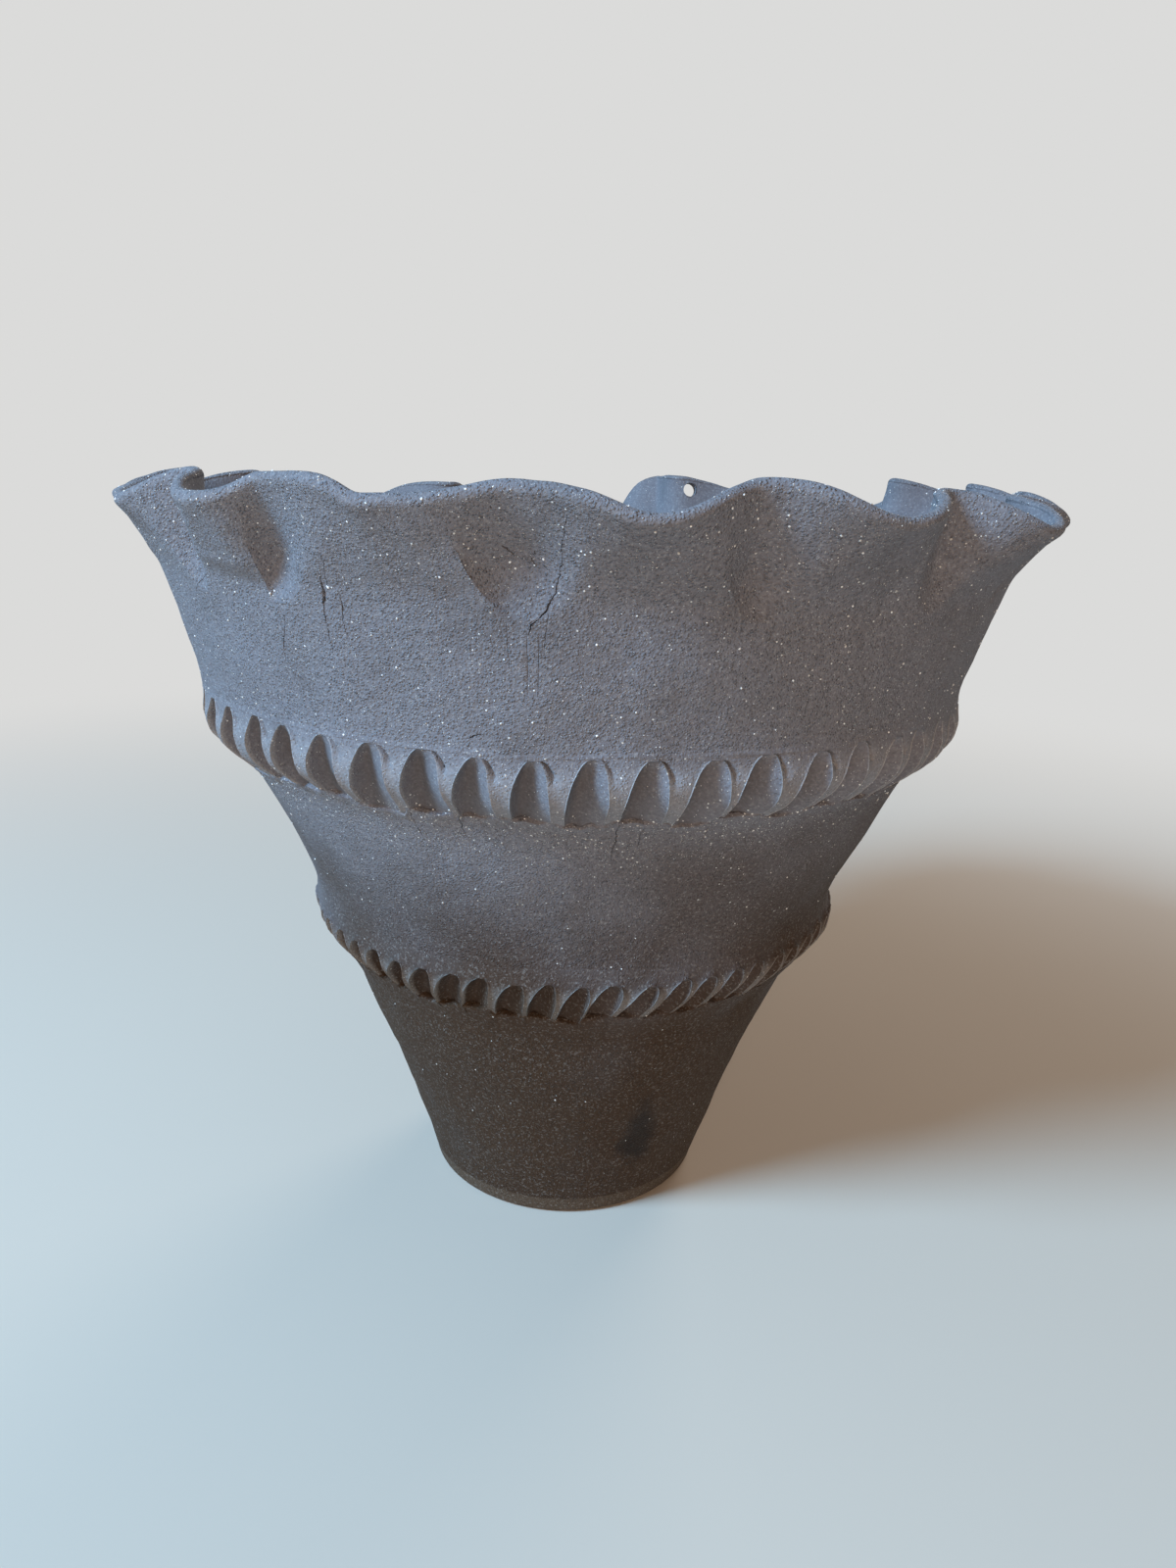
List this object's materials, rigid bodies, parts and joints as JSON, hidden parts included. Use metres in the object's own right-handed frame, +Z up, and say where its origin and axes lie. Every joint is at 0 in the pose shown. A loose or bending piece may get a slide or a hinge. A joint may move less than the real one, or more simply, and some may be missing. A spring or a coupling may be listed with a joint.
{
  "type": "ruffled stoneware vessel",
  "caption": "Wide flaring hand-built stoneware vessel with a small flat foot, finger-pressed clay bands over its wall joints, and a ruffled mouth with a small tie hole at the back",
  "frame": {"origin": "on the ground, in the middle of the foot's flat underside", "axes": "+Z up through the mouth, -Y the front that the picture shows, +X to the right seen from the front"},
  "size_m": [0.3886, 0.3979, 0.3234],
  "materials": {
    "wall_clay": "unglazed, dry and matte, fine pimpled grain with pale grog specks",
    "band_clay": "unglazed, dry and matte, smoothed by the fingertip inside each hollow",
    "foot_clay": "unglazed, dry and matte, a little browner and rubbed at the edge"
  },
  "bodies": {
    "root": {"foot_slab": "foot_clay", "lower_wall": "wall_clay", "middle_wall": "wall_clay", "upper_wall": "wall_clay", "ruffled_collar": "wall_clay", "lower_pressed_band": "band_clay", "upper_pressed_band": "band_clay"}
  },
  "joints": []
}
